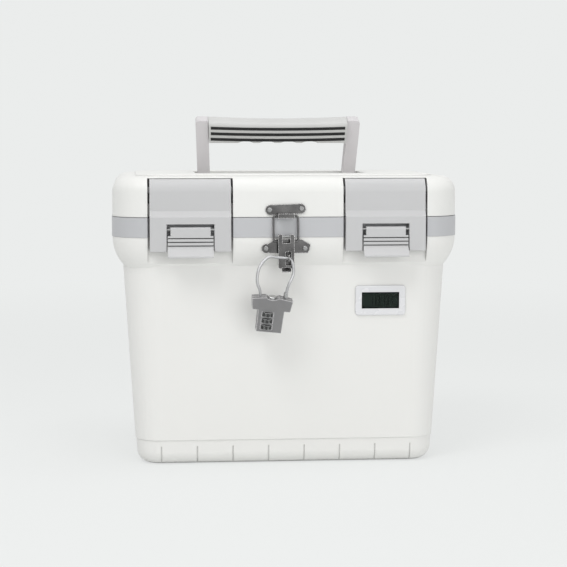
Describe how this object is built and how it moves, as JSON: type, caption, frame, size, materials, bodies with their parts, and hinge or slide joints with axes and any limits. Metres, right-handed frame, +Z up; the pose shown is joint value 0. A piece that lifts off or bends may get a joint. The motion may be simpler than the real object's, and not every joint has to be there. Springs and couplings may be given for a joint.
{
  "type": "specimen transport box",
  "caption": "Insulated carrying box with hinged lid, two lever latches, a draw latch with a hanging combination lock, fold-down handle and front panel thermometer.",
  "frame": {"origin": "middle of the base, on the surface that the box stands on", "axes": "+Z up, front with the latches towards -Y, +X to the right seen from the front"},
  "size_m": [0.331, 0.2722, 0.3337],
  "materials": {
    "white_shell": "fine-grained moulded plastic",
    "lid_white": "fine-grained moulded plastic",
    "liner_white": "smooth moulded plastic",
    "band_grey": "satin moulded plastic",
    "foam": "closed-cell rigid foam",
    "gasket": "soft sealing strip",
    "latch_grey": "satin moulded plastic",
    "handle_grey": "satin moulded plastic",
    "grip_grey": "soft-touch cover",
    "grip_stripes": "black soft-touch strips",
    "steel_pins": "drawn wire",
    "clasp_steel": "polished stainless sheet",
    "lock_zinc": "satin metal finish",
    "lock_bright": "bright plated",
    "cable": "stranded steel with a clear sleeve",
    "gauge_case": "moulded plastic",
    "gauge_lens": "clear window",
    "gauge_lcd": "dark liquid crystal",
    "gauge_board": "circuit board",
    "cell_steel": "plated can",
    "grommet": "soft rubber"
  },
  "bodies": {
    "root": {"outer_shell": "white_shell", "rim_band": "band_grey", "inner_liner": "liner_white", "body_insulation": "foam", "hinge_pins": "steel_pins", "thermometer_case": "gauge_case", "thermometer_lens": "gauge_lens", "thermometer_display": "gauge_lcd", "thermometer_board": "gauge_board", "thermometer_cells": "cell_steel", "thermometer_back": "gauge_case", "probe_grommet": "grommet", "clasp_base": "clasp_steel", "clasp_rivets": "clasp_steel", "fulcrum_pin": "clasp_steel"},
    "lid": {"lid_shell": "lid_white", "lid_liner": "liner_white", "lid_insulation": "foam", "lid_gasket": "gasket", "keeper_plate": "clasp_steel", "keeper_rivets": "clasp_steel", "flap_pins": "steel_pins", "handle_pins": "steel_pins"},
    "handle": {"handle_frame": "handle_grey", "handle_grip": "grip_grey", "grip_inlays": "grip_stripes"},
    "flap_left": {"latch_flap_left": "latch_grey", "lever_pin_left": "steel_pins"},
    "flap_right": {"latch_flap_right": "latch_grey", "lever_pin_right": "steel_pins"},
    "lever_left": {"latch_lever_left": "latch_grey"},
    "lever_right": {"latch_lever_right": "latch_grey"},
    "draw_lever": {"draw_lever": "clasp_steel"},
    "draw_bail": {"bail_wire": "clasp_steel"},
    "lock": {"lock_front": "lock_zinc", "lock_back": "lock_zinc", "lock_spindle": "steel_pins", "lock_cable": "cable", "cable_ferrule": "lock_bright"},
    "dial_1": {"lock_dial_1": "lock_bright"},
    "dial_2": {"lock_dial_2": "lock_bright"},
    "dial_3": {"lock_dial_3": "lock_bright"},
    "lock_button": {"lock_button": "lock_bright"}
  },
  "joints": [
    {"name": "lid_open", "type": "hinge", "parent": "root", "child": "lid", "pos_m": [0, 0.1265, 0.23825], "axis": [-1, 0, 0], "range_deg": [0, 100]},
    {"name": "handle_fold", "type": "hinge", "parent": "lid", "child": "handle", "pos_m": [0, 0.025, 0.268], "axis": [1, 0, 0], "range_deg": [0, 66]},
    {"name": "flap_left_open", "type": "hinge", "parent": "lid", "child": "flap_left", "pos_m": [-0.092, -0.111, 0.2635], "axis": [-1, 0, 0], "range_deg": [0, 105]},
    {"name": "flap_right_open", "type": "hinge", "parent": "lid", "child": "flap_right", "pos_m": [0.092, -0.111, 0.2635], "axis": [-1, 0, 0], "range_deg": [0, 105]},
    {"name": "lever_left_lift", "type": "hinge", "parent": "flap_left", "child": "lever_left", "pos_m": [-0.092, -0.12125, 0.227], "axis": [-1, 0, 0], "range_deg": [0, 40]},
    {"name": "lever_right_lift", "type": "hinge", "parent": "flap_right", "child": "lever_right", "pos_m": [0.092, -0.12125, 0.227], "axis": [-1, 0, 0], "range_deg": [0, 40]},
    {"name": "draw_lever_lift", "type": "hinge", "parent": "root", "child": "draw_lever", "pos_m": [-0.00275, -0.1256, 0.2205], "axis": [-1, 0, 0], "range_deg": [0, 150]},
    {"name": "bail_swing", "type": "hinge", "parent": "draw_lever", "child": "draw_bail", "pos_m": [-0.00275, -0.1242, 0.2155], "axis": [-1, 0, 0], "range_deg": [-139.5, 0]},
    {"name": "lock_swing", "type": "hinge", "parent": "root", "child": "lock", "pos_m": [-0.00095, -0.1311, 0.2007], "axis": [-1, 0, 0], "range_deg": [-8, 100]},
    {"name": "dial_1_turn", "type": "hinge", "parent": "lock", "child": "dial_1", "pos_m": [-0.02226, -0.13002, 0.13708], "axis": [0.1045, -0.2406, 0.965], "continuous": true},
    {"name": "dial_2_turn", "type": "hinge", "parent": "lock", "child": "dial_2", "pos_m": [-0.02161, -0.13151, 0.14307], "axis": [0.1045, -0.2406, 0.965], "continuous": true},
    {"name": "dial_3_turn", "type": "hinge", "parent": "lock", "child": "dial_3", "pos_m": [-0.02097, -0.13301, 0.14905], "axis": [0.1045, -0.2406, 0.965], "continuous": true},
    {"name": "lock_button_press", "type": "slide", "parent": "lock", "child": "lock_button", "axis": [-0.1045, 0.2406, -0.965], "range_m": [0, 0.0015], "stiffness_N_per_m": 400}
  ],
  "couplings": [
    {"joint": "bail_swing", "follows": "draw_lever_lift", "ratio": -0.93}
  ]
}
